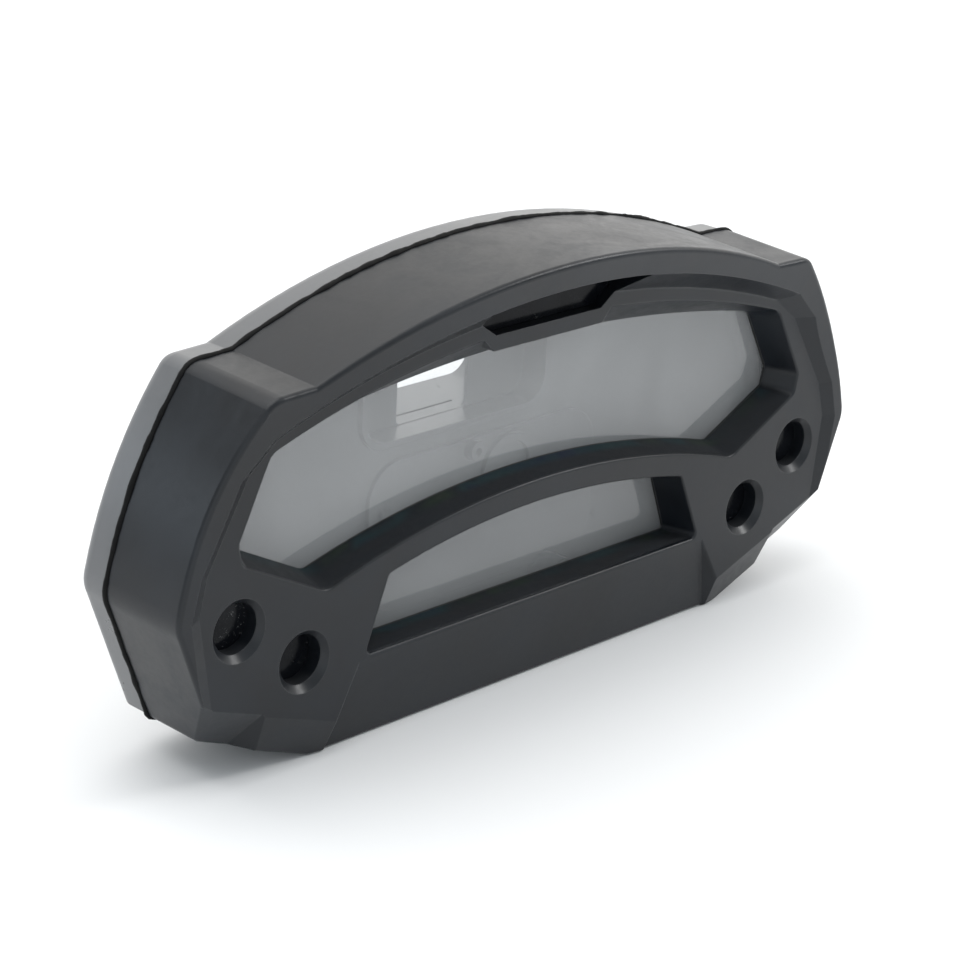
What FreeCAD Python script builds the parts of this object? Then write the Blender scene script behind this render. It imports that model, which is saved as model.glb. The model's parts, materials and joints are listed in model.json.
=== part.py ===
"""Motorcycle dash housing: bezel, clear window, rear cover, seals, screws and rubber mounts.

X runs to the rider's right, +Y away from the rider and +Z up, in millimetres.  While the pieces are
made, Y is counted from the seam between bezel and rear cover and Z from the outer warning windows;
export() then moves every piece so that the origin is the middle of the two upper mounting holes.
"""

import FreeCAD, Part

import math
import os

from FreeCAD import Vector

# ---- driving dimensions ------------------------------------------------------------------------
WALL = 2.5                   # moulded wall of both shells
SEAM_GAP = 0.8               # sealing bead between the two shells
COVER_INSET = 0.3            # rear cover is this much smaller all round

BROW_TOP_Z = 61.1            # crown of the arched top, at the seam
BROW_DRAFT = 1.5             # crown is this much lower at the front edge
BROW_END_X, BROW_END_Z = 68.4, 47.5
SHOULDER_X, SHOULDER_Z = 76.6, 47.25
FLANK_MID = (92.7, 24.8)
WAIST_X, WAIST_Z = 99.0, 4.2             # widest point of the housing
KEEL_OUTER, KEEL_INNER = (88.6, -24.6), (80.7, -27.7)
FLOOR_X, FLOOR_Z = 62.0, -34.75          # flat underside that the housing stands on

RIM_Y = -22.2                # front edge of the rim below the brow
LEAN_START_Z = 18.0          # above this height the rim leans towards the rider
LEAN_R = 150.0
OUTLINE_FRONT_Y = -32.0      # section that the bezel is lofted to, ahead of its trimmed face
RIM_EDGE_R, KEEL_EDGE_R, CORNER_EDGE_R, WINDOW_EDGE_R = 1.0, 2.0, 0.8, 0.5
PANEL_Y0, PANEL_TILT = -20.9, 0.028      # recessed panel: y = PANEL_Y0 + PANEL_TILT * z

PAD_EDGES = (                # middles of the corner pads' long edges, in the order they are rounded
    ((67.5, -23.6), (83.5, -17.5), (54.8, -21.4), (76.4, -24.7), (79.0, -23.8)),
    ((90.6, -19.1),),
    ((69.2, -32.0), (0.0, -34.7)),
)

LENS_FRONT_Y, LENS_T = -12.7, 2.0
SEAL_T = 0.5
FLANGE_Y = LENS_FRONT_Y - SEAL_T         # back of the bezel's front wall
SEAL_LAP = 2.6               # how far the window seal reaches past each window
UPPER_CORNERS = ((74.0, 33.0, 4.0), (82.0, 17.0, 2.5), (81.0, 12.5, 2.5), (60.6, 2.5, 5.0))
LOWER_CORNERS = ((43.5, 0.5, 1.2), (49.5, -15.0, 1.2))
CORE_Y = -18.2               # moulding cores behind the front wall end here
TUNNEL_WALL = 2.2

WARNING_WINDOWS = ((83.1, -0.5), (66.6, -11.6))
WARNING_R = 5.3
WARNING_RIM_R = 6.6
WARNING_LENS_Y = -16.6
WARNING_FLANGE_R = 6.95
WARNING_FLANGE_Y = -15.6
TUBE_R = 8.8

SLOT_FLOOR_Z = 45.0          # opening for the shift light, under the brow
SLOT_LENS_Y, SLOT_LENS_T = -15.6, 1.6
TAB_Z = 41.7

COVER_DEPTH = 9.5            # back of the rear cover
COVER_EDGE_R = 3.5
SCREWS = ((40.0, 47.3), (75.6, 39.8), (80.0, -18.5), (30.0, -26.0))
SCREW_R, SCREW_HEAD_R, SCREW_HEAD_H = 1.45, 2.9, 2.0
SCREW_TIP_Y, SCREW_SEAT_Y = -10.0, 5.5
BOSS_R = 3.4

MOUNT_FACE_Y = 16.0
MOUNTS = {"left": (-60.0, 24.0), "right": (60.0, 24.0), "lower": (0.0, -20.0)}
MOUNT_BOSS_R = 7.0
INSERT_R, INSERT_BORE_R, INSERT_L = 3.6, 2.1, 7.0
CUSHION_R, CUSHION_PROUD = 10.5, 0.8

POCKET = (-26.5, 26.5, 15.8, 46.0)       # connector pocket: low x, high x, low z, high z
POCKET_FLOOR_Y, POCKET_WALL = 12.3, 2.2
PARTITION_Y = 16.3           # back of the wall between the pocket and the rear shroud
SHROUD = (-26.5, 26.5, 15.8, 40.5)       # inside of the shroud, lower than the pocket at the top
SHROUD_END_Y = 30.2
OPENING = (-12.0, 9.0, 15.9, 31.0)
OPENING_PLATE_T, OPENING_RELIEF = 1.0, 5.2   # the wall thins to a plate beside the opening
VENT_X, VENT_Z, VENT_R = 5.0, 8.5, 4.9

ORIGIN = Vector(0.0, MOUNT_FACE_Y, MOUNTS["left"][1])
FAR = 200.0                  # larger than the whole part
TOUCH = 0.02                 # points closer than this are the same place


# ---- helpers -----------------------------------------------------------------------------------
def panel_y(z):
    """Depth of the recessed panel at height z."""
    return PANEL_Y0 + PANEL_TILT * z


def rim_y(z):
    """Depth of the rim's front face at height z."""
    if z <= LEAN_START_Z:
        return RIM_Y
    return RIM_Y - LEAN_R + math.sqrt(LEAN_R ** 2 - (z - LEAN_START_Z) ** 2)


def closed_wire(*curves):
    """A wire from curves given as point lists: two points are a line, three an arc."""
    edges = []
    for points in curves:
        if len(points) == 2:
            edges.append(Part.LineSegment(*points).toShape())
        else:
            edges.append(Part.Arc(*points).toShape())
    return Part.Wire(edges)


def mirrored(right_curves, y_of):
    """A closed wire from the curves of its right half, each a list of (x, z), top to bottom.

    The first curve is (0, apex) and the right end of the arc that crosses the centre line; the last
    is its counterpart below, a straight line if both points have the same z.
    """
    def point(x, z):
        return Vector(x, y_of(z), z)

    (_, top_z), (top_x, top_end) = right_curves[0]
    (low_x, low_z), (_, apex_z) = right_curves[-1]
    curves = [[point(-top_x, top_end), point(0, top_z), point(top_x, top_end)]]
    sides = right_curves[1:-1]
    curves += [[point(x, z) for x, z in side] for side in sides]
    if abs(low_z - apex_z) < 1e-6:
        curves.append([point(low_x, low_z), point(-low_x, low_z)])
    else:
        curves.append([point(low_x, low_z), point(0, apex_z), point(-low_x, low_z)])
    curves += [[point(-x, z) for x, z in reversed(side)] for side in reversed(sides)]
    return closed_wire(*curves)


def prism(wire, y0, y1):
    """Solid between y0 and y1 from a planar wire in any XZ plane."""
    face = Part.Face(wire)
    face.translate(Vector(0, y0 - wire.BoundBox.YMin, 0))
    return face.extrude(Vector(0, y1 - y0, 0))


def grown(wire, distance):
    """The planar wire moved outwards by a distance, or inwards if it is negative."""
    return Part.Face(wire).makeOffset2D(distance).OuterWire


def rounded_box_wire(box, radius, y=0.0):
    """Rectangle with rounded corners in an XZ plane."""
    x0, x1, z0, z1 = box
    plate = Part.makeBox(x1 - x0, 1.0, z1 - z0, Vector(x0, y, z0))
    corners = [e for e in plate.Edges if abs(e.tangentAt(e.FirstParameter).y) > 0.9]
    plate = plate.makeFillet(radius, corners)
    ends = [f for f in plate.Faces if abs(f.CenterOfMass.y - y) < 1e-6]
    return ends[0].OuterWire


def rod(radius, x, z, y0, y1):
    """Cylinder along Y."""
    return Part.makeCylinder(radius, y1 - y0, Vector(x, y0, z), Vector(0, 1, 0))


def both_sides(places):
    """Each (x, z) place and its mirror image."""
    return [(side * x, z) for x, z in places for side in (-1, 1)]


def half_space(point, normal):
    """Large block on the side of a plane that its normal points to."""
    block = Part.makeBox(2 * FAR, 2 * FAR, FAR, Vector(-FAR, -FAR, 0))
    block.Placement = FreeCAD.Placement(point, FreeCAD.Rotation(Vector(0, 0, 1), normal))
    return block


def plane_ahead(a, b, c):
    """Everything ahead of (more -Y than) the plane through three points."""
    normal = (b - a).cross(c - a)
    if normal.y > 0:
        normal = -normal
    return half_space(a, normal)


def one_solid(shape):
    """The largest solid of a result, so that no crumbs are exported."""
    return max(shape.Solids, key=lambda solid: solid.Volume)


def round_edges(solid, radius, chosen):
    """Fillet the edges that the test picks."""
    return solid.makeFillet(radius, [edge for edge in solid.Edges if chosen(edge)])


def middle(edge):
    """Point half way along an edge."""
    return edge.valueAt((edge.FirstParameter + edge.LastParameter) / 2)


def runs_along_y(edge):
    """True for an edge that runs mostly front to back."""
    tangent = edge.tangentAt((edge.FirstParameter + edge.LastParameter) / 2)
    return abs(tangent.y) > 0.5


def on_panel(edge):
    """True for an edge that lies in the sunken panel."""
    points = (edge.valueAt(edge.FirstParameter), middle(edge), edge.valueAt(edge.LastParameter))
    return all(abs(point.y - panel_y(point.z)) < TOUCH for point in points)


# ---- outlines ----------------------------------------------------------------------------------
def outline(y):
    """Outer outline of the housing at depth y: the arched brow loses height towards the front."""
    drop = BROW_DRAFT * y / OUTLINE_FRONT_Y
    apex = (0, BROW_TOP_Z - drop)
    brow_end = (BROW_END_X - drop / 2, BROW_END_Z - drop)
    shoulder = (SHOULDER_X - drop / 2, SHOULDER_Z - drop)
    shoulder_mid = (SHOULDER_X + 1.98 - drop / 2.5, SHOULDER_Z - 0.49 - drop)
    flank_top = (SHOULDER_X + 3.57 - drop / 4, SHOULDER_Z - 1.75 - drop)
    waist_top = (WAIST_X - 0.3, WAIST_Z + 2.8)
    waist_low = (WAIST_X - 0.7, WAIST_Z - 2.6)
    half = [
        [apex, brow_end],
        [brow_end, shoulder],
        [shoulder, shoulder_mid, flank_top],
        [flank_top, FLANK_MID, waist_top],
        [waist_top, (WAIST_X, WAIST_Z), waist_low],
        [waist_low, KEEL_OUTER],
        [KEEL_OUTER, KEEL_INNER],
        [KEEL_INNER, (FLOOR_X, FLOOR_Z)],
        [(FLOOR_X, FLOOR_Z), (0, FLOOR_Z)],
    ]
    return mirrored(half, lambda z: y)


def upper_window(share):
    """Outline of the upper window: share 0 at the lens, 1 at the panel, more in front of it."""
    y = FLANGE_Y + share * (panel_y(20.0) - FLANGE_Y)

    def at(lens, panel):
        return (lens[0] + share * (panel[0] - lens[0]), lens[1] + share * (panel[1] - lens[1]))

    crown = at((0, 39.5), (0, 46.0))
    top = at((71.8, 32.0), (75.0, 33.2))
    side = at((79.7, 17.2), (83.0, 16.8))
    outer = at((78.6, 12.9), (81.9, 12.2))
    inner = at((60.4, 3.6), (60.7, 1.7))
    sill = at((0, 12.2), (0, 11.1))
    half = [[crown, top], [top, side], [side, outer], [outer, inner], [inner, sill]]
    return mirrored(half, lambda z: y)


def lower_window(share):
    """Outline of the lower window, in the same way."""
    y = FLANGE_Y + share * (panel_y(-10.0) - FLANGE_Y)

    def at(lens, panel):
        return (lens[0] + share * (panel[0] - lens[0]), lens[1] + share * (panel[1] - lens[1]))

    crown = at((0, 4.6), (0, 6.2))
    top = at((42.6, -0.6), (44.0, 1.0))
    low = at((47.9, -14.8), (50.4, -15.0))
    half = [[crown, top], [top, low], [low, (0, low[1])]]
    return mirrored(half, lambda z: y)


def slot_outline(y):
    """Outline of the shift-light opening: a shallow tray shape under the brow."""
    half = [
        [(0, 53.9), (23.8, 52.35)],
        [(23.8, 52.35), (20.6, 48.6)],
        [(20.6, 48.6), (15.4, SLOT_FLOOR_Z)],
        [(15.4, SLOT_FLOOR_Z), (0, SLOT_FLOOR_Z)],
    ]
    return mirrored(half, lambda z: y)


# ---- front bezel -------------------------------------------------------------------------------
def window_tool(window, corners):
    """Tapered cutter for a window, with each listed corner (x, z, radius) rounded on both sides."""
    tool = Part.makeLoft([window(0.0), window(1.4)], True, True)
    for x, z, radius in corners:
        reach = 3.0

        def corner_edge(edge):
            place = middle(edge)
            return runs_along_y(edge) and math.hypot(abs(place.x) - x, place.z - z) < reach

        tool = round_edges(tool, radius, corner_edge)
    return tool


def front_trim():
    """Everything ahead of the rim's front face."""
    top_z = 70.0
    mid_z = (top_z + LEAN_START_Z) / 2
    profile = closed_wire(
        [Vector(0, RIM_Y, -FAR), Vector(0, RIM_Y, LEAN_START_Z)],
        [Vector(0, rim_y(z), z) for z in (LEAN_START_Z, mid_z, top_z)],
        [Vector(0, rim_y(top_z), top_z), Vector(0, -FAR, top_z)],
        [Vector(0, -FAR, top_z), Vector(0, -FAR, -FAR)],
        [Vector(0, -FAR, -FAR), Vector(0, RIM_Y, -FAR)],
    )
    face = Part.Face(profile)
    face.translate(Vector(-FAR, 0, 0))
    return face.extrude(Vector(2 * FAR, 0, 0))


def panel_recess():
    """Cutter for the sunken panel, with the sloping band that rises from it to the rim."""
    panel = [(0, 48.65), (73.5, 35.9), (80.4, 30.4), (90.8, 12.6), (92.9, 4.6), (90.2, -14.5), (86, -40)]
    rim = [(0, 53.8), (77.4, 37.5), (84.6, 30.6), (93.6, 13.0), (95.9, 4.4), (93.2, -14.5), (89, -40)]
    overshoot = 1.35

    def ring(places, y_of):
        half = [[places[0], places[1]]]
        half += [[a, b] for a, b in zip(places[1:], places[2:])]
        half += [[places[-1], (0, places[-1][1])]]
        return mirrored(half, y_of)

    inner = [Vector(x, panel_y(z), z) for x, z in panel]
    outer = [Vector(x, rim_y(z), z) for x, z in rim]
    beyond = [a + (b - a) * overshoot for a, b in zip(inner, outer)]
    depth = {round(v.z, 6): v.y for v in beyond}
    first = ring(panel, panel_y)
    second = ring([(v.x, v.z) for v in beyond], lambda z: depth[round(z, 6)])
    third = ring([(v.x, v.z) for v in beyond], lambda z: -45.0)
    return Part.makeLoft([first, second, third], True, True)


def corner_bevels():
    """Cutters for the sloping lower corners and for the chin, sunk between the corner pads."""
    edge_y = -22.0
    cutters = []
    for side in (-1, 1):
        high = Vector(side * 87.3, edge_y, -15.2)
        low = Vector(side * 57.3, edge_y, -26.4)
        block = plane_ahead(high, low, Vector(side * 62.1, -17.7, -34.75))
        corner = plane_ahead(high, low, Vector(side * 84.0, -14.6, -26.4))
        ramp_foot = Vector(side * KEEL_INNER[0], -14.5, KEEL_INNER[1])
        ramp = plane_ahead(ramp_foot, Vector(side * 76.0, -17.7, -29.5), Vector(side * 77.0, edge_y, -19.05))
        cutters += [block, corner.common(ramp)]
    return cutters


def chin_cutter():
    """Cutter for the chin: a plane that falls back towards the underside, with sloping flanks."""
    top_z, top_y, foot_y = -14.0, -21.7, -17.7
    chin = plane_ahead(Vector(0, top_y, top_z), Vector(50, top_y, top_z), Vector(0, foot_y, FLOOR_Z))

    def tray(y, spread):
        half_top = 51.5 + spread
        half_low = 66.0 + spread
        corners = [(half_top, top_z), (half_low, -42.0), (-half_low, -42.0), (-half_top, top_z)]
        points = [Vector(x, y, z) for x, z in corners]
        return Part.makePolygon(points + points[:1])

    flanks = Part.makeLoft([tray(-14.0, -8.0), tray(-30.0, 8.0)], True, True)
    return chin.common(flanks)


def rim_edge(edge):
    """True for the outer edge of the rim's front face."""
    place = middle(edge)
    return abs(place.y - rim_y(place.z)) < 2 * TOUCH and not runs_along_y(edge)


def keel_edge(edge):
    """True for the front-to-back edges of the lower corners."""
    return runs_along_y(edge) and middle(edge).z < -20.0 and edge.BoundBox.YMax > -1.0


def bezel_blank():
    """Solid outer form of the bezel, before windows and hollows."""
    body = Part.makeLoft([outline(-SEAM_GAP / 2), outline(OUTLINE_FRONT_Y)], True, True)
    body = body.cut(front_trim())
    body = round_edges(body, RIM_EDGE_R, rim_edge)
    for cutter in corner_bevels():
        body = body.cut(cutter)
    body = body.cut(panel_recess())
    body = body.cut(chin_cutter())
    body = one_solid(body.removeSplitter())
    return round_edges(body, KEEL_EDGE_R, keel_edge)


def slot_tab():
    """Tab under the shift-light opening, flush with the panel, that dips into the upper window."""
    half_low, half_high, high_z = 15.9, 23.5, 49.2
    corners = [(half_low, TAB_Z), (half_high, high_z), (-half_high, high_z), (-half_low, TAB_Z)]
    points = [Vector(x, -30.0, z) for x, z in corners]
    tab = prism(Part.makePolygon(points + points[:1]), -30.0, FLANGE_Y)
    behind_panel = half_space(Vector(0, PANEL_Y0, 0), Vector(0, 1, -PANEL_TILT))
    return tab.common(behind_panel)


def warning_bore(x, z):
    """Bore of one warning window: wide chamfer, short tube, and a seat for its lens behind."""
    mouth_y = panel_y(z) - 1.8
    depth = mouth_y + (WARNING_RIM_R - WARNING_R) + 1.8
    mouth_r = WARNING_R + (depth - mouth_y)
    cone = Part.makeCone(mouth_r, WARNING_R, depth - mouth_y, Vector(x, mouth_y, z), Vector(0, 1, 0))
    tube = rod(WARNING_R, x, z, depth, WARNING_FLANGE_Y)
    seat = rod(WARNING_FLANGE_R, x, z, WARNING_FLANGE_Y, FLANGE_Y)
    return cone.fuse(tube).fuse(seat)


def moulding_core(body_outline):
    """Hollow behind the corner pads and the brow, with tunnels and tubes left standing."""
    core = prism(grown(body_outline, -WALL - 0.5), CORE_Y, FLANGE_Y)
    core = core.cut(half_space(Vector(0, 0, -13.0), Vector(0, 0, -1)))
    for window in (upper_window(1.0), lower_window(1.0)):
        core = core.cut(prism(grown(window, TUNNEL_WALL), CORE_Y, FLANGE_Y))
    core = core.cut(prism(grown(slot_outline(0.0), TUNNEL_WALL), CORE_Y, FLANGE_Y))
    for x, z in both_sides(WARNING_WINDOWS):
        core = core.cut(rod(TUBE_R, x, z, CORE_Y, FLANGE_Y))
    for x, z in both_sides(SCREWS):
        core = core.cut(rod(BOSS_R, x, z, CORE_Y, FLANGE_Y))
    return [solid for solid in core.Solids if solid.Volume > 100.0]


def lower_window_edge(edge):
    place = middle(edge)
    return on_panel(edge) and abs(place.x) < 50.2 and -15.3 < place.z < 6.3


def upper_window_edge(edge):
    """True for the edge of the upper window, but not for the tab or the slot above it."""
    place = middle(edge)
    near_tab = abs(place.x) < 19.3 and place.z > 41.0
    near_slot = abs(place.x) < 30.0 and place.z > 44.9
    inside = abs(place.x) < 84.0 and 1.5 < place.z < 47.0
    return on_panel(edge) and inside and not (near_tab or near_slot or lower_window_edge(edge))


def bezel_face():
    """Bezel blank with its windows, the slot and the tab, front edges broken."""
    body = bezel_blank()
    body = body.cut(window_tool(upper_window, UPPER_CORNERS))
    body = body.cut(window_tool(lower_window, LOWER_CORNERS))
    body = body.fuse(slot_tab())
    body = body.cut(prism(slot_outline(0.0), -45.0, FLANGE_Y))
    body = one_solid(body.removeSplitter())
    body = round_edges(body, WINDOW_EDGE_R, lower_window_edge)
    return round_edges(body, WINDOW_EDGE_R, upper_window_edge)


def seam_tongue():
    """Groove in the bezel's rear edge, and the tongue of the seal that fills it."""
    back = outline(0.0)
    depth, near, far = -1.6, -0.9, -1.7
    return prism(grown(back, near), depth, 0.0).cut(prism(grown(back, far), depth, 0.0))


def corner_edges(*places):
    """Test for the long edges whose middles are near any of the (x, z) places, on either side."""
    reach, shortest = 1.5, 5.0

    def chosen(edge):
        here = middle(edge)
        gaps = [max(abs(abs(here.x) - x), abs(here.z - z)) for x, z in places]
        return min(gaps) < reach and edge.Length > shortest and here.y < FLANGE_Y

    return chosen


def front_bezel():
    body = bezel_face()
    for x, z in both_sides(WARNING_WINDOWS):
        body = body.cut(warning_bore(x, z))
    slot_seat = grown(slot_outline(0.0), 1.2)
    body = body.cut(prism(slot_seat, SLOT_LENS_Y, FLANGE_Y))
    back = outline(0.0)
    body = body.cut(prism(grown(back, -WALL), FLANGE_Y, 1.0))
    for core in moulding_core(back):
        body = body.cut(core)
    for x, z in both_sides(SCREWS):
        body = body.fuse(rod(BOSS_R, x, z, FLANGE_Y - 0.5, 0.0))
        body = body.cut(rod(SCREW_R, x, z, SCREW_TIP_Y - 1.0, 1.0))
    body = body.cut(seam_tongue())
    body = one_solid(body.removeSplitter())
    for places in PAD_EDGES:
        body = round_edges(body, CORNER_EDGE_R, corner_edges(*places))
    return body


# ---- window and small lenses -------------------------------------------------------------------
def window_plate(lap, y0, y1):
    """Plate between y0 and y1 that covers both windows with a border, and the bar between them."""
    plate = prism(grown(upper_window(0.0), lap), y0, y1)
    plate = plate.fuse(prism(grown(lower_window(0.0), lap), y0, y1))
    bridge_x, bridge_low, bridge_high = 45.0 + lap, -4.0, 9.0
    bridge = Part.makeBox(2 * bridge_x, y1 - y0, bridge_high - bridge_low, Vector(-bridge_x, y0, bridge_low))
    return one_solid(plate.fuse(bridge).removeSplitter())


def main_lens():
    return window_plate(SEAL_LAP - 0.3, LENS_FRONT_Y, LENS_FRONT_Y + LENS_T)


def window_seal():
    seal = window_plate(SEAL_LAP, FLANGE_Y, LENS_FRONT_Y)
    for window in (upper_window(0.0), lower_window(0.0)):
        seal = seal.cut(prism(window, FLANGE_Y, LENS_FRONT_Y))
    return one_solid(seal)


def slot_lens():
    rear = prism(grown(slot_outline(0.0), 1.1), SLOT_LENS_Y, SLOT_LENS_Y + SLOT_LENS_T)
    nose = prism(grown(slot_outline(0.0), -0.05), SLOT_LENS_Y - 1.2, SLOT_LENS_Y)
    return rear.fuse(nose).removeSplitter()


def warning_lens(x, z):
    nose = rod(WARNING_R - 0.05, x, z, WARNING_LENS_Y, WARNING_FLANGE_Y)
    flange = rod(WARNING_FLANGE_R - 0.05, x, z, WARNING_FLANGE_Y, WARNING_FLANGE_Y + 1.4)
    return nose.fuse(flange).removeSplitter()


# ---- rear cover --------------------------------------------------------------------------------
def cover_blank():
    """Tray with a rounded back edge."""
    rim = grown(outline(0.0), -COVER_INSET)
    tray = prism(rim, SEAM_GAP / 2, COVER_DEPTH)

    def back_edge(edge):
        return edge.BoundBox.YMin > COVER_DEPTH - 0.01

    tray = round_edges(tray, COVER_EDGE_R, back_edge)
    hollow = prism(grown(outline(0.0), -COVER_INSET - WALL), 0.0, COVER_DEPTH - WALL)

    def floor_edge(edge):
        return edge.BoundBox.YMin > COVER_DEPTH - WALL - 0.01

    hollow = round_edges(hollow, 1.5, floor_edge)
    return tray.cut(hollow)


def connector_port(cover):
    """Pocket with a raised rim inside, shroud for the plug outside, opening between them."""
    inner_y = COVER_DEPTH - WALL

    def around(box, grow):
        return (box[0] - grow, box[1] + grow, box[2] - grow, box[3] + grow)

    block = prism(rounded_box_wire(around(POCKET, POCKET_WALL), 7.0), COVER_DEPTH - 0.5, PARTITION_Y)
    shroud = prism(rounded_box_wire(around(SHROUD, POCKET_WALL), 7.0), COVER_DEPTH - 0.5, SHROUD_END_Y)
    shroud = round_edges(shroud, 0.7, lambda edge: edge.BoundBox.YMin > SHROUD_END_Y - TOUCH)
    cover = cover.fuse(block).fuse(shroud)
    cover = cover.fuse(prism(rounded_box_wire(around(POCKET, 1.4), 6.5), inner_y - 1.3, inner_y + 0.5))
    cover = cover.cut(prism(rounded_box_wire(POCKET, 5.5), inner_y - 2.0, POCKET_FLOOR_Y))
    cover = cover.cut(prism(rounded_box_wire(SHROUD, 5.5), PARTITION_Y, SHROUD_END_Y + 1.0))
    cover = cover.cut(prism(rounded_box_wire(OPENING, 1.2), POCKET_FLOOR_Y - 1.0, PARTITION_Y + 1.0))
    relief_y = POCKET_FLOOR_Y + OPENING_PLATE_T
    relief_corner = Vector(OPENING[1] - 2.0, relief_y, OPENING[2])
    cover = cover.cut(Part.makeBox(OPENING_RELIEF + 2.0, PARTITION_Y + 1.0 - relief_y,
                                   OPENING[3] - OPENING[2], relief_corner))
    groove_corner = Vector(OPENING[0], PARTITION_Y + 0.1, SHROUD[2] - 0.6)
    groove = Part.makeBox(OPENING[1] - OPENING[0], 0.8, 0.7, groove_corner)
    return cover.cut(groove)


def rear_cover():
    cover = connector_port(cover_blank())
    inner_y = COVER_DEPTH - WALL
    platform = (-25.0, 44.0, -24.0, 11.0)
    cover = cover.fuse(prism(rounded_box_wire(platform, 9.0), inner_y - 1.0, inner_y + 0.5))
    ring = rod(8.0, 16.0, 2.0, inner_y - 2.2, inner_y).cut(rod(6.2, 16.0, 2.0, inner_y - 2.2, inner_y))
    cover = cover.fuse(ring)
    cover = cover.fuse(rod(2.3, VENT_X, VENT_Z, inner_y - 3.2, inner_y + 0.5))
    cover = cover.cut(rod(0.9, VENT_X, VENT_Z, 0.0, COVER_DEPTH + 1.0))
    cover = cover.fuse(rod(VENT_R + 1.6, VENT_X, VENT_Z, COVER_DEPTH - 0.5, COVER_DEPTH + 1.5))
    cover = cover.cut(rod(VENT_R + 0.1, VENT_X, VENT_Z, COVER_DEPTH - 0.3, COVER_DEPTH + 3.0))
    for x, z in both_sides(SCREWS):
        cover = cover.fuse(rod(BOSS_R + 0.8, x, z, 0.0, inner_y + 0.5))
        cover = cover.cut(rod(SCREW_R + 0.15, x, z, -1.0, COVER_DEPTH + 1.0))
        cover = cover.cut(rod(SCREW_HEAD_R + 0.5, x, z, SCREW_SEAT_Y, COVER_DEPTH + 1.0))
    for x, z in MOUNTS.values():
        foot_y = Vector(x, COVER_DEPTH, z)
        foot = Part.makeCone(MOUNT_BOSS_R + 5.5, MOUNT_BOSS_R + 4.0, 1.5, foot_y, Vector(0, 1, 0))
        cover = cover.fuse(foot).fuse(rod(MOUNT_BOSS_R, x, z, COVER_DEPTH - 0.5, MOUNT_FACE_Y))
        cover = cover.cut(rod(INSERT_R, x, z, MOUNT_FACE_Y - INSERT_L, MOUNT_FACE_Y))
    return one_solid(cover.removeSplitter())


def perimeter_seal():
    """Flat bead between the shells with a tongue that fills the bezel's groove."""
    back = outline(0.0)
    bead = prism(grown(back, -0.45), -SEAM_GAP / 2, SEAM_GAP / 2)
    bead = bead.cut(prism(grown(back, -WALL + 0.1), -1.0, 1.0))
    return one_solid(bead.fuse(seam_tongue()).removeSplitter())


# ---- fasteners, mounts and vent ----------------------------------------------------------------
def cover_screw(x, z):
    """Self-tapping screw: domed head with a six-lobe drive simplified to a hexagon."""
    head = rod(SCREW_HEAD_R, x, z, SCREW_SEAT_Y, SCREW_SEAT_Y + SCREW_HEAD_H)
    head = round_edges(head, 0.9, lambda e: e.BoundBox.YMin > SCREW_SEAT_Y + SCREW_HEAD_H - 0.01)
    shank = rod(SCREW_R, x, z, SCREW_TIP_Y + 1.2, SCREW_SEAT_Y)
    tip = Part.makeCone(0.5, SCREW_R, 1.2, Vector(x, SCREW_TIP_Y, z), Vector(0, 1, 0))
    drive_r = 1.35
    corners = [Vector(x + drive_r * math.cos(math.radians(60 * k)), SCREW_SEAT_Y + 0.8,
                      z + drive_r * math.sin(math.radians(60 * k))) for k in range(7)]
    drive = prism(Part.makePolygon(corners), SCREW_SEAT_Y + 0.8, SCREW_SEAT_Y + 3.0)
    return one_solid(head.fuse(shank).fuse(tip).cut(drive).removeSplitter())


def mount_insert(x, z):
    """Brass threaded bush, moulded in flush with the mounting face."""
    bush = rod(INSERT_R, x, z, MOUNT_FACE_Y - INSERT_L, MOUNT_FACE_Y)
    return bush.cut(rod(INSERT_BORE_R, x, z, 0.0, MOUNT_FACE_Y + 1.0))


def mount_cushion(x, z):
    """Rubber ring round a mounting boss, grooved for the bracket plate."""
    low = COVER_DEPTH + 1.5
    high = MOUNT_FACE_Y + CUSHION_PROUD
    groove = (low + 1.6, low + 3.6)
    inner, outer, waist = MOUNT_BOSS_R, CUSHION_R, CUSHION_R - 1.8
    profile = [(inner, low), (outer - 0.5, low), (outer, low + 0.5), (outer, groove[0]), (waist, groove[0]),
               (waist, groove[1]), (outer, groove[1]), (outer - 0.6, high), (inner, high)]
    points = [Vector(x + r, y, z) for r, y in profile]
    face = Part.Face(Part.makePolygon(points + points[:1]))
    return face.revolve(Vector(x, 0, z), Vector(0, 1, 0), 360)


def vent_membrane():
    return rod(VENT_R - 0.8, VENT_X, VENT_Z, COVER_DEPTH - 0.3, COVER_DEPTH)


def vent_cap():
    """Slotted cap that shields the membrane."""
    cap = rod(VENT_R, VENT_X, VENT_Z, COVER_DEPTH, COVER_DEPTH + 2.4)
    cap = round_edges(cap, 0.6, lambda e: e.BoundBox.YMin > COVER_DEPTH + 2.3)
    cap = cap.cut(rod(VENT_R - 1.7, VENT_X, VENT_Z, COVER_DEPTH, COVER_DEPTH + 1.0))
    for turn in (0, 60, 120):
        slot = Part.makeBox(12.0, 0.9, 1.2, Vector(-6.0, COVER_DEPTH, -0.6))
        slot.rotate(Vector(0, 0, 0), Vector(0, 1, 0), turn)
        slot.translate(Vector(VENT_X, 0, VENT_Z))
        cap = cap.cut(slot)
    return one_solid(cap)


# ---- export ------------------------------------------------------------------------------------
def export(shape, name):
    """Write one piece, moved into the part's own frame."""
    piece = shape.copy()
    piece.translate(-ORIGIN)
    piece.exportStep("parts/" + name + ".step")


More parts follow.
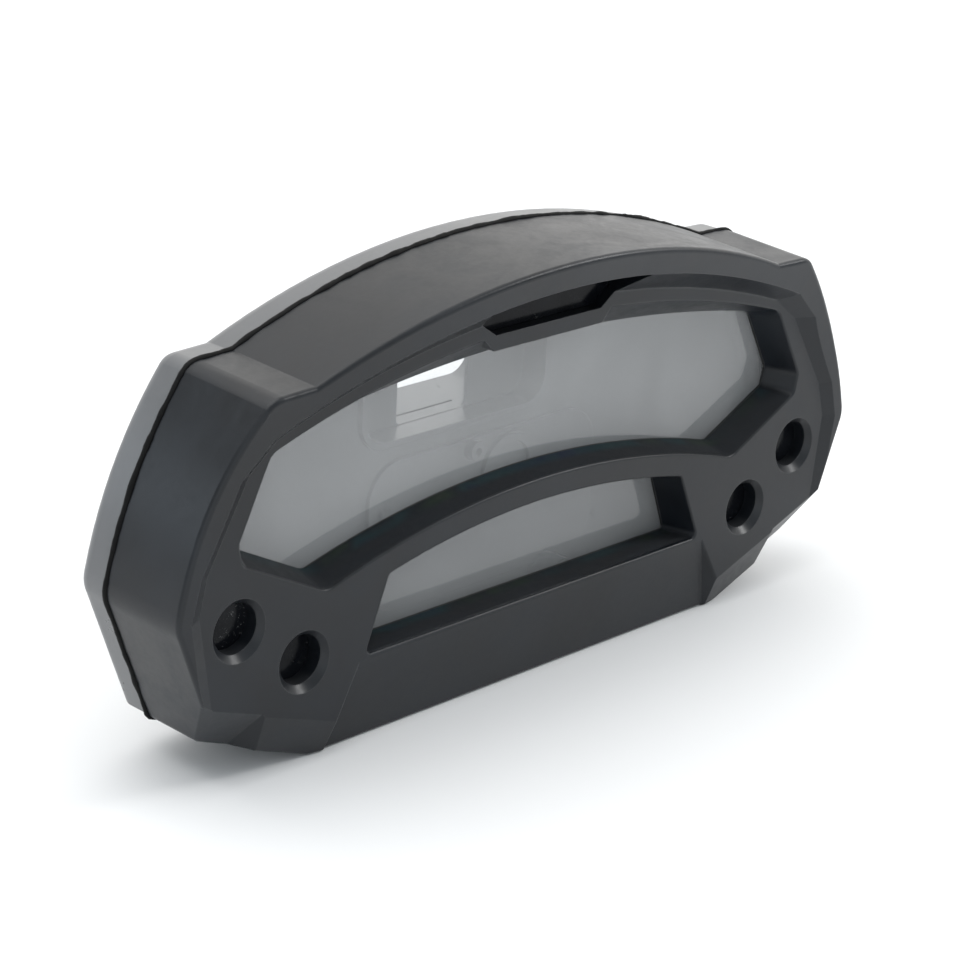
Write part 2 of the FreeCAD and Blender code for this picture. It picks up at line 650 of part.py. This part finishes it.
def main():
    os.makedirs("parts", exist_ok=True)
    export(front_bezel(), "front_bezel")
    export(main_lens(), "main_lens")
    export(window_seal(), "window_seal")
    export(slot_lens(), "shift_light_lens")
    for (x, z), place in zip(WARNING_WINDOWS, ("outer", "inner")):
        export(warning_lens(-x, z), "warning_lens_left_" + place)
        export(warning_lens(x, z), "warning_lens_right_" + place)
    export(rear_cover(), "rear_cover")
    export(perimeter_seal(), "perimeter_seal")
    for number, (x, z) in enumerate(both_sides(SCREWS), start=1):
        export(cover_screw(x, z), "cover_screw_" + str(number))
    for place, (x, z) in MOUNTS.items():
        export(mount_insert(x, z), "mount_insert_" + place)
        export(mount_cushion(x, z), "mount_cushion_" + place)
    export(vent_membrane(), "vent_membrane")
    export(vent_cap(), "vent_cap")


main()
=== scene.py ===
"""Looks of the motorcycle dash housing: procedural plastics, hazy window, sealant bead, studio.

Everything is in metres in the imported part's frame: +X to the rider's right, +Y away from the
rider, +Z up.
"""

import json
import math

import bmesh
import bpy
from mathutils import Matrix, Vector, noise


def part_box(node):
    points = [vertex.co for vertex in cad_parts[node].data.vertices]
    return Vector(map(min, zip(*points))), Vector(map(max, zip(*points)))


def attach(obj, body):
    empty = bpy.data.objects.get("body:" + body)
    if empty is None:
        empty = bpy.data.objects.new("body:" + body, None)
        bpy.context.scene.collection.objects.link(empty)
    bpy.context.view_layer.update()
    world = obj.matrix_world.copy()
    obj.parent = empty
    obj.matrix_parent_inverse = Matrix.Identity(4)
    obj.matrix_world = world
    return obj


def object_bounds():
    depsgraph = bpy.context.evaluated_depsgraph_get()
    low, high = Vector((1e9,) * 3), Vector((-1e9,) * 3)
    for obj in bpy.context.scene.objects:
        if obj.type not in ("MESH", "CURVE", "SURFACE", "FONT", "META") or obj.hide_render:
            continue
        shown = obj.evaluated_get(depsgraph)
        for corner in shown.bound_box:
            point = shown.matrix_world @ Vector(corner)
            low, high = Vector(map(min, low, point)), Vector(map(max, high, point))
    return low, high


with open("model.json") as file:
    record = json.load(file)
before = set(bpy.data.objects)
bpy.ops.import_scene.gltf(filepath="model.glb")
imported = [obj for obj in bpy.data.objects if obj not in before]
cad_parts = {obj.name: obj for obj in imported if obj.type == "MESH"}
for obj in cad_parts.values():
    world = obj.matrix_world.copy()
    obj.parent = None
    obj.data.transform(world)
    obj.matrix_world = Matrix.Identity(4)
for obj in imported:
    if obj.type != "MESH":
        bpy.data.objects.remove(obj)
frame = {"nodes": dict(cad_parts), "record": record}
cad_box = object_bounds()

MM = 0.001
BODY = "root"

# camera at the photograph's viewing angle, in the part's frame
CAMERA_AZIMUTH, CAMERA_ELEVATION, CAMERA_ROLL = 45.594, 20.827, 2.624      # degrees
CAMERA_DISTANCE = 0.6022
CAMERA_TARGET = Vector((0.0019, -0.0159, -0.0202))
CAMERA_LENS, SENSOR_WIDTH = 104.92, 36.0                                    # millimetres
CAMERA_CLIP_START = 0.01

FLOOR_SIZE = 8.0
FLOOR_GAP = 0.0002

# ledges in front of the window, where a coloured sheen is painted into the colour as a painted
# reflection tint
LENS_Y = -29.2 * MM                                    # front of the window's seal
PAINTED_SHEEN_DEPTHS = (LENS_Y - 3.4 * MM, LENS_Y - 1.6 * MM)  # the painted sheen grows towards the window
LEDGE_DEPTHS = (LENS_Y - 7.4 * MM, LENS_Y - 6.6 * MM)   # front end of the ledges
LEDGE_HEIGHTS = (-2.0 * MM, -6.0 * MM)                 # ledges lie below this
LEDGE_ROUGHER = 0.50
# painted sheen: colours of a faint coloured reflection tint, painted on the ledges
PAINTED_SHEEN_COLORS = (
    (0.30, (0.004, 0.010, 0.026, 1.0)),
    (0.42, (0.004, 0.019, 0.023, 1.0)),
    (0.52, (0.005, 0.008, 0.011, 1.0)),
    (0.62, (0.008, 0.017, 0.010, 1.0)),
    (0.72, (0.018, 0.008, 0.007, 1.0)),
)

# sealant bead, pressed out all round the seam
BEAD_STEP = 0.9 * MM
BEAD_SIDES = 8
BEAD_FROM_SEAL_BACK = 0.4 * MM
BEAD_RADIUS, BEAD_WAVE, BEAD_FAT = 0.54, 0.22, 0.45    # millimetres
BEAD_OUT, BEAD_OUT_FAT = 0.38, 0.28                    # millimetres
BEAD_DRIFT = 0.24 * MM
BEAD_ALONG_Y = 1.25                                    # its section is longer along Y
RADIUS_NOISE, LUMP_NOISE, FAT_NOISE, DRIFT_NOISE = 260.0, 900.0, 45.0, 170.0
FAT_SHIFT, DRIFT_SHIFT = Vector((3.0, 1.0, 7.0)), Vector((9.0, 2.0, 5.0))
INSIDE_SEAM = Vector((0.0, 0.0, -0.01))                # a point inside the seam's outline

# range that most values of a noise texture fall in
MIDDLE = (0.3, 0.7)


# ---- node helpers ----------------------------------------------------------------------
class Tree:
    """Short way to build a node tree."""

    def __init__(self, owner):
        owner.use_nodes = True
        self.nodes = owner.node_tree.nodes
        self.links = owner.node_tree.links
        self.nodes.clear()

    def add(self, kind, values=None, **settings):
        node = self.nodes.new(kind)
        for name, value in settings.items():
            setattr(node, name, value)
        for key, value in (values or {}).items():
            self.put(value, node.inputs[key])
        return node

    def put(self, value, socket):
        if isinstance(value, bpy.types.NodeSocket):
            self.links.new(value, socket)
        else:
            socket.default_value = value

    def noise(self, vector, scale, detail=2.0, roughness=0.5, distortion=0.0):
        values = {"Vector": vector, "Scale": scale, "Detail": detail, "Roughness": roughness,
                  "Distortion": distortion}
        return self.add("ShaderNodeTexNoise", values).outputs["Fac"]

    def remap(self, value, source, target=(0.0, 1.0)):
        values = {"Value": value, "From Min": source[0], "From Max": source[1],
                  "To Min": target[0], "To Max": target[1]}
        return self.add("ShaderNodeMapRange", values).outputs["Result"]

    def math(self, operation, a, b):
        return self.add("ShaderNodeMath", {0: a, 1: b}, operation=operation).outputs[0]

    def dot(self, a, b):
        node = self.add("ShaderNodeVectorMath", {0: a, 1: b}, operation="DOT_PRODUCT")
        return node.outputs["Value"]

    def mix_color(self, factor, a, b):
        node = self.add("ShaderNodeMix", data_type="RGBA")
        self.put(factor, node.inputs[0])
        self.put(a, node.inputs[6])
        self.put(b, node.inputs[7])
        return node.outputs[2]

    def bump(self, strength, distance, height, **more):
        values = {"Strength": strength, "Distance": distance, "Height": height, **more}
        return self.add("ShaderNodeBump", values).outputs["Normal"]

    def place(self):
        return self.add("ShaderNodeTexCoord").outputs["Object"]

    def surface_normal(self):
        return self.add("ShaderNodeNewGeometry").outputs["Normal"]

    def separate(self, vector):
        return self.add("ShaderNodeSeparateXYZ", {0: vector}).outputs

    def finish(self, shader):
        out = self.add("ShaderNodeOutputMaterial")
        self.links.new(shader, out.inputs["Surface"])

    def finish_principled(self, color, roughness, **more):
        """Principled shader; more holds its other sockets, with _ for the spaces in a name."""
        values = {"Base Color": color, "Roughness": roughness}
        values.update({name.replace("_", " "): value for name, value in more.items()})
        self.finish(self.add("ShaderNodeBsdfPrincipled", values).outputs[0])


def grey(level):
    return (level, level, level, 1.0)


def new_material(name):
    material = bpy.data.materials.new(name)
    return material, Tree(material)


# ---- materials -------------------------------------------------------------------------
def painted_lens_sheen(tree, place, color):
    """Painted sheen: faint coloured reflection tints painted on the ledges in front of the window,
    over color.

    Returns the colour, and the mask of the ledges.
    """
    position = tree.separate(place)
    upward = tree.remap(tree.separate(tree.surface_normal())[2], (0.75, 0.95))
    close = tree.remap(position[1], PAINTED_SHEEN_DEPTHS)
    low_enough = tree.remap(position[2], LEDGE_HEIGHTS)
    inside = tree.remap(position[1], LEDGE_DEPTHS)
    hue = tree.noise(place, scale=38.0, detail=2.0, roughness=0.5, distortion=1.0)
    ramp = tree.add("ShaderNodeValToRGB", {"Fac": hue})
    stops = ramp.color_ramp.elements
    first, *between, last = PAINTED_SHEEN_COLORS
    stops[0].position, stops[0].color = first
    stops[1].position, stops[1].color = last
    for where, tint in between:
        stops.new(where).color = tint
    ledge = tree.math("MULTIPLY", tree.math("MULTIPLY", upward, low_enough), inside)
    # painted sheen: the reflection tint is painted only on upward ledges near the window
    painted_sheen = tree.math("MULTIPLY", ledge, close)
    return tree.mix_color(painted_sheen, color, ramp.outputs["Color"]), ledge


def moulded_plastic(name, base, cloud, roughness, spread, grain_depth, edge_radius, edge_lift,
                    ior=1.5, with_painted_sheen=False):
    """Injection moulded plastic: fine grain, cloudy gloss, slightly paler rubbed edges.

    base and cloud are the colours that large soft patches vary between.
    """
    material, tree = new_material(name)
    place = tree.place()
    broad = tree.noise(place, scale=22.0, detail=3.0, roughness=0.55, distortion=0.6)
    smear = tree.noise(place, scale=75.0, detail=4.0, roughness=0.6, distortion=1.4)
    grain = tree.noise(place, scale=2600.0, detail=2.0, roughness=0.6)
    fine = tree.noise(place, scale=700.0, detail=3.0, roughness=0.65)

    rounded = tree.add("ShaderNodeBevel", {"Radius": edge_radius}, samples=6).outputs["Normal"]
    edge = tree.remap(tree.dot(rounded, tree.surface_normal()), (0.985, 0.85), (0.0, edge_lift))

    patches = tree.remap(tree.math("ADD", broad, tree.math("MULTIPLY", smear, 0.5)), (0.6, 0.95))
    color = tree.mix_color(patches, base, cloud)
    color = tree.mix_color(edge, color, grey(0.16))
    gloss = tree.remap(smear, MIDDLE, (roughness - spread, roughness + spread))
    gloss = tree.math("ADD", gloss, tree.remap(fine, (0.35, 0.65), (-0.02, 0.02)))
    # painted sheen: a coloured reflection tint painted on the ledges, which are also made rougher
    if with_painted_sheen:
        color, ledge = painted_lens_sheen(tree, place, color)
        gloss = tree.math("ADD", gloss, tree.math("MULTIPLY", ledge, LEDGE_ROUGHER))

    height = tree.math("ADD", grain, tree.math("MULTIPLY", fine, 1.5))
    bump = tree.bump(0.5, grain_depth, height, Normal=rounded)
    tree.finish_principled(color, gloss, Normal=bump, IOR=ior)
    return material


def hazy_window():
    """Clear plate with a soft grey haze and a clean reflection; it doesn't bend light."""
    material, tree = new_material("window_clear")
    place = tree.place()
    streak = tree.noise(place, scale=34.0, detail=3.0, roughness=0.6, distortion=2.2)
    dust = tree.noise(place, scale=1500.0, detail=2.0, roughness=0.7)
    haze = tree.remap(streak, MIDDLE, (0.150, 0.180))
    haze = tree.math("ADD", haze, tree.remap(dust, (0.80, 0.86), (0.0, 0.08)))
    clear = tree.add("ShaderNodeBsdfTransparent", {"Color": (0.955, 0.962, 0.965, 1.0)}).outputs[0]
    film = tree.add("ShaderNodeBsdfDiffuse", {"Color": (0.80, 0.81, 0.82, 1.0)}).outputs[0]
    hazed = tree.add("ShaderNodeMixShader", {0: haze, 1: clear, 2: film}).outputs[0]
    gloss = tree.add("ShaderNodeBsdfGlossy", {"Color": grey(1.0), "Roughness": 0.04}).outputs[0]
    fresnel = tree.add("ShaderNodeFresnel", {"IOR": 1.49}).outputs[0]
    from_behind = tree.add("ShaderNodeNewGeometry").outputs["Backfacing"]
    mirror = tree.math("MULTIPLY", fresnel, tree.math("SUBTRACT", 1.0, from_behind))
    tree.finish(tree.add("ShaderNodeMixShader", {0: mirror, 1: hazed, 2: gloss}).outputs[0])
    return material


def smoked_lens():
    """Nearly black clear plastic with a few painted glints in places: pale ragged marks in its
    colour.
    """
    material, tree = new_material("smoked_lens")
    place = tree.place()
    tint = tree.remap(tree.noise(place, scale=160.0, detail=2.0), MIDDLE)
    color = tree.mix_color(tint, (0.003, 0.0035, 0.005, 1.0), (0.007, 0.008, 0.010, 1.0))
    # painted glints: pale ragged marks painted into the colour in small patches
    glint_noise = tree.noise(place, scale=520.0, detail=5.0, roughness=0.7, distortion=3.5)
    painted_glints = tree.remap(glint_noise, (0.60, 0.66))
    where = tree.remap(tree.noise(place, scale=95.0, detail=2.0), (0.56, 0.64))
    color = tree.mix_color(tree.math("MULTIPLY", painted_glints, where), color, grey(0.16))
    rough = tree.remap(tree.noise(place, scale=420.0, detail=3.0), MIDDLE, (0.10, 0.20))
    tree.finish_principled(color, rough, IOR=1.49, Specular_IOR_Level=0.12)
    return material


def rubbery(name, low, high, roughness, scale, depth, specular=0.5):
    """Soft black material: foam, sealant or cushion rubber."""
    material, tree = new_material(name)
    place = tree.place()
    cells = tree.noise(place, scale, detail=4.0, roughness=0.6)
    color = tree.mix_color(tree.remap(cells, MIDDLE), low, high)
    worn = tree.noise(place, scale * 0.3, detail=2.0)
    rough = tree.remap(worn, MIDDLE, (roughness - 0.07, roughness + 0.07))
    bump = tree.bump(0.6, depth, cells)
    tree.finish_principled(color, rough, Normal=bump, Specular_IOR_Level=specular)
    return material


def turned_metal(name, low, high, roughness, scale):
    """Machined or plated metal with fine turning marks along Y."""
    material, tree = new_material(name)
    place = tree.place()
    stretch = tree.add("ShaderNodeMapping", {"Vector": place, "Scale": (0.25, 4.0, 0.25)})
    marks = tree.noise(stretch.outputs[0], scale, detail=3.0, roughness=0.6)
    stain = tree.noise(place, scale * 0.15, detail=3.0, roughness=0.6)
    color = tree.mix_color(tree.remap(stain, (0.35, 0.65)), low, high)
    rough = tree.remap(marks, MIDDLE, (roughness - 0.08, roughness + 0.10))
    bump = tree.bump(0.35, 0.02 * MM, marks)
    tree.finish_principled(color, rough, Metallic=1.0, Normal=bump)
    return material


def woven_membrane():
    """Pale vent fabric, woven along X and Z."""
    material, tree = new_material("membrane_fabric")
    place = tree.place()
    threads = [
        tree.add("ShaderNodeTexWave", {"Vector": place, "Scale": 900.0}, bands_direction=axis)
        for axis in ("X", "Z")]
    weave = tree.math("MAXIMUM", *(thread.outputs["Fac"] for thread in threads))
    color = tree.mix_color(weave, grey(0.45), grey(0.78))
    bump = tree.bump(0.8, 0.05 * MM, weave)
    tree.finish_principled(color, 0.85, Normal=bump)
    return material


def floor_material():
    material, tree = new_material("studio_floor")
    speckle = tree.noise(tree.place(), scale=3.0, detail=2.0)
    tree.finish_principled(tree.mix_color(speckle, grey(0.86), grey(0.88)), 0.9)
    return material


def make_materials():
    """One finished material for each material slot of the record."""
    return {
        # the bezel carries the painted sheen on its ledges in front of the window
        "bezel_plastic": moulded_plastic(
            "bezel_plastic",
            base=(0.0055, 0.0065, 0.0085, 1.0), cloud=(0.009, 0.0115, 0.0155, 1.0),
            roughness=0.36, spread=0.05, grain_depth=0.012 * MM,
            edge_radius=0.35 * MM, edge_lift=0.35, ior=1.43, with_painted_sheen=True),
        "cover_plastic": moulded_plastic(
            "cover_plastic",
            base=(0.118, 0.120, 0.124, 1.0), cloud=(0.142, 0.144, 0.148, 1.0),
            roughness=0.33, spread=0.05, grain_depth=0.003 * MM,
            edge_radius=0.35 * MM, edge_lift=0.3),
        "vent_plastic": moulded_plastic(
            "vent_plastic",
            base=(0.016, 0.017, 0.019, 1.0), cloud=(0.022, 0.023, 0.026, 1.0),
            roughness=0.46, spread=0.05, grain_depth=0.012 * MM,
            edge_radius=0.2 * MM, edge_lift=0.3),
        "window_clear": hazy_window(),
        "smoked_lens": smoked_lens(),
        "seal_foam": rubbery(
            "seal_foam", grey(0.012), grey(0.028),
            roughness=0.75, scale=2200.0, depth=0.03 * MM),
        "seam_sealant": rubbery(
            "seam_sealant", grey(0.001), grey(0.003),
            roughness=0.62, scale=900.0, depth=0.03 * MM, specular=0.15),
        "cushion_rubber": rubbery(
            "cushion_rubber", grey(0.013), grey(0.023),
            roughness=0.66, scale=1300.0, depth=0.03 * MM),
        "screw_steel": turned_metal(
            "screw_steel", (0.50, 0.51, 0.53, 1.0), (0.62, 0.63, 0.64, 1.0),
            roughness=0.30, scale=900.0),
        "insert_brass": turned_metal(
            "insert_brass", (0.68, 0.50, 0.22, 1.0), (0.78, 0.61, 0.31, 1.0),
            roughness=0.28, scale=900.0),
        "membrane_fabric": woven_membrane(),
    }


def dress_nodes(materials):
    """Give every CAD node its finished material."""
    for part in frame["record"]["subparts"]:
        node = frame["nodes"][part["node"]]
        for slot in node.material_slots:
            slot.material = materials[part["material_slot"]]


# ---- sealant squeezed out of the seam --------------------------------------------------
def seam_loop():
    """Outer contour of the back face of the seal in the seam, as points in order."""
    mesh = frame["nodes"]["perimeter_seal"].data
    back_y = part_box("perimeter_seal")[1].y
    back_face = [polygon for polygon in mesh.polygons
                 if polygon.normal.y > 0.9 and abs(polygon.center.y - back_y) < 0.05 * MM]

    def corner(index):
        co = mesh.vertices[index].co
        return (round(co.x, 6), round(co.z, 6))

    uses = {}
    for polygon in back_face:
        ring = list(polygon.vertices)
        for a, b in zip(ring, ring[1:] + ring[:1]):
            edge = tuple(sorted((corner(a), corner(b))))
            uses[edge] = uses.get(edge, 0) + 1
    neighbours = {}
    for (a, b), times in uses.items():
        if times == 1:
            neighbours.setdefault(a, []).append(b)
            neighbours.setdefault(b, []).append(a)

    start = max(neighbours)
    loop = [start]
    before = None
    while True:
        here = loop[-1]
        ahead = [point for point in neighbours[here] if point != before]
        before = here
        if not ahead or ahead[0] == start:
            break
        loop.append(ahead[0])
    return [Vector((x, 0.0, z)) for x, z in loop]


def resampled(points, step):
    """Evenly spaced points along a closed polyline."""
    closed = points + points[:1]
    lengths = [(b - a).length for a, b in zip(closed, closed[1:])]
    total = sum(lengths)
    count = int(total / step)
    out = []
    index, walked = 0, 0.0
    for k in range(count):
        target = total * k / count
        while walked + lengths[index] < target:
            walked += lengths[index]
            index += 1
        share = (target - walked) / lengths[index]
        out.append(closed[index].lerp(closed[index + 1], share))
    return out


def bead_section(point, along, seam_y):
    """Points of the bead's uneven section round one point of the seam."""
    outward = Vector((along.z, 0.0, -along.x))
    if outward.dot(point - INSIDE_SEAM) < 0:
        outward = -outward
    wave = noise.noise(point * RADIUS_NOISE) + 0.5 * noise.noise(point * LUMP_NOISE)
    fat = max(0.0, noise.noise(point * FAT_NOISE + FAT_SHIFT))
    radius = (BEAD_RADIUS + BEAD_WAVE * wave + BEAD_FAT * fat) * MM
    centre = point + outward * (BEAD_OUT + BEAD_OUT_FAT * fat) * MM
    drift = BEAD_DRIFT * noise.noise(point * DRIFT_NOISE + DRIFT_SHIFT)
    middle = Vector((centre.x, seam_y + drift, centre.z))
    section = []
    for side in range(BEAD_SIDES):
        turn = 2 * math.pi * side / BEAD_SIDES
        across = outward * math.cos(turn) * radius
        deep = Vector((0, 1, 0)) * math.sin(turn) * radius * BEAD_ALONG_Y
        section.append(middle + (across + deep))
    return section


def sealant_bead():
    """Uneven black bead that was pressed out of the seam when the two shells were joined."""
    points = resampled(seam_loop(), BEAD_STEP)
    seam_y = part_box("perimeter_seal")[1].y - BEAD_FROM_SEAL_BACK
    mesh = bpy.data.meshes.new("seam_squeeze_out")
    bm = bmesh.new()
    rings = []
    for k, point in enumerate(points):
        along = (points[(k + 1) % len(points)] - points[k - 1]).normalized()
        rings.append([bm.verts.new(corner) for corner in bead_section(point, along, seam_y)])
    for ring, after in zip(rings, rings[1:] + rings[:1]):
        for side in range(BEAD_SIDES):
            beside = (side + 1) % BEAD_SIDES
            bm.faces.new((ring[side], ring[beside], after[beside], after[side]))
    bmesh.ops.recalc_face_normals(bm, faces=bm.faces)
    for face in bm.faces:
        face.smooth = True
    bm.to_mesh(mesh)
    bm.free()
    bead = bpy.data.objects.new("seam_squeeze_out", mesh)
    bpy.context.scene.collection.objects.link(bead)
    return bead


# ---- studio ----------------------------------------------------------------------------
def add_floor():
    level = cad_box[0][2] - FLOOR_GAP
    half = FLOOR_SIZE / 2
    mesh = bpy.data.meshes.new("floor")
    corners = [(-half, -half, level), (half, -half, level), (half, half, level),
               (-half, half, level)]
    mesh.from_pydata(corners, [], [(0, 1, 2, 3)])
    floor = bpy.data.objects.new("floor", mesh)
    bpy.context.scene.collection.objects.link(floor)
    mesh.materials.append(floor_material())


def add_softbox(name, place, aim, size, power, color=(1.0, 1.0, 1.0)):
    data = bpy.data.lights.new(name, "AREA")
    data.shape = "RECTANGLE"
    data.size, data.size_y = size
    data.energy = power
    data.color = color
    light = bpy.data.objects.new(name, data)
    light.location = place
    light.rotation_euler = (Vector(aim) - Vector(place)).to_track_quat("-Z", "Y").to_euler()
    light.visible_camera = False
    bpy.context.scene.collection.objects.link(light)


def add_softboxes():
    centre = (0.0, 0.0, 0.0)
    add_softbox("top_box", place=(-0.25, 0.10, 1.0), aim=centre, size=(1.2, 1.0), power=7.5)
    add_softbox("side_box", place=(-0.62, 0.55, 0.19), aim=(-0.09, 0.0, 0.0),
                size=(0.50, 0.20), power=0.50, color=(0.78, 0.89, 1.0))
    add_softbox("edge_box", place=(0.75, -0.50, 0.62), aim=centre, size=(0.28, 0.24), power=3.2)


def add_world():
    """Grey surroundings, brighter behind the object on the rider's right and in front on the left.

    Behind it on the left they are a little darker.
    """
    world = bpy.data.worlds.new("studio")
    bpy.context.scene.world = world
    tree = Tree(world)
    direction = tree.add("ShaderNodeTexCoord").outputs["Generated"]

    def towards(aim, span, change):
        """Value that goes from 0 to change where the direction nears aim."""
        length = math.sqrt(sum(value * value for value in aim))
        unit = tuple(value / length for value in aim)
        return tree.remap(tree.dot(direction, unit), span, (0.0, change))

    behind = (0.8, 0.7, 0.3)
    backdrop = towards(behind, (0.2, 1.0), 0.90)
    flag = towards((-0.74, 0.65, 0.15), (0.80, 0.98), -0.10)
    fill = towards((-0.65, -0.70, 0.05), (0.80, 1.0), 0.8)
    overall = tree.math("ADD", 0.64, backdrop)
    strength = tree.math("ADD", overall, tree.math("ADD", flag, fill))
    cool, warm = (0.90, 0.96, 1.0, 1.0), (1.0, 0.99, 0.97, 1.0)
    tint = tree.mix_color(towards(behind, (0.0, 0.9), 1.0), cool, warm)
    background = tree.add("ShaderNodeBackground", {"Color": tint, "Strength": strength})
    out = tree.add("ShaderNodeOutputWorld")
    tree.links.new(background.outputs[0], out.inputs["Surface"])


def add_camera():
    azimuth, elevation, roll = (
        math.radians(angle) for angle in (CAMERA_AZIMUTH, CAMERA_ELEVATION, CAMERA_ROLL))
    forward = Vector((
        math.sin(azimuth) * math.cos(elevation),
        math.cos(azimuth) * math.cos(elevation),
        -math.sin(elevation)))
    level_right = Vector((math.cos(azimuth), -math.sin(azimuth), 0.0))
    level_up = level_right.cross(forward)
    right = level_right * math.cos(roll) + level_up * math.sin(roll)
    up = level_up * math.cos(roll) - level_right * math.sin(roll)
    data = bpy.data.cameras.new("camera")
    data.lens, data.sensor_width = CAMERA_LENS, SENSOR_WIDTH
    data.clip_start = CAMERA_CLIP_START
    camera = bpy.data.objects.new("camera", data)
    matrix = Matrix((right, up, -forward)).transposed().to_4x4()
    matrix.translation = CAMERA_TARGET - forward * CAMERA_DISTANCE
    camera.matrix_world = matrix
    bpy.context.scene.collection.objects.link(camera)
    bpy.context.scene.camera = camera


# ---- build -----------------------------------------------------------------------------
materials = make_materials()
dress_nodes(materials)

bead = sealant_bead()
bead.data.materials.append(materials["seam_sealant"])
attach(bead, BODY)

add_floor()
add_world()
add_softboxes()
add_camera()

scene = bpy.context.scene
scene.view_settings.view_transform = "Standard"
scene.view_settings.look = "None"
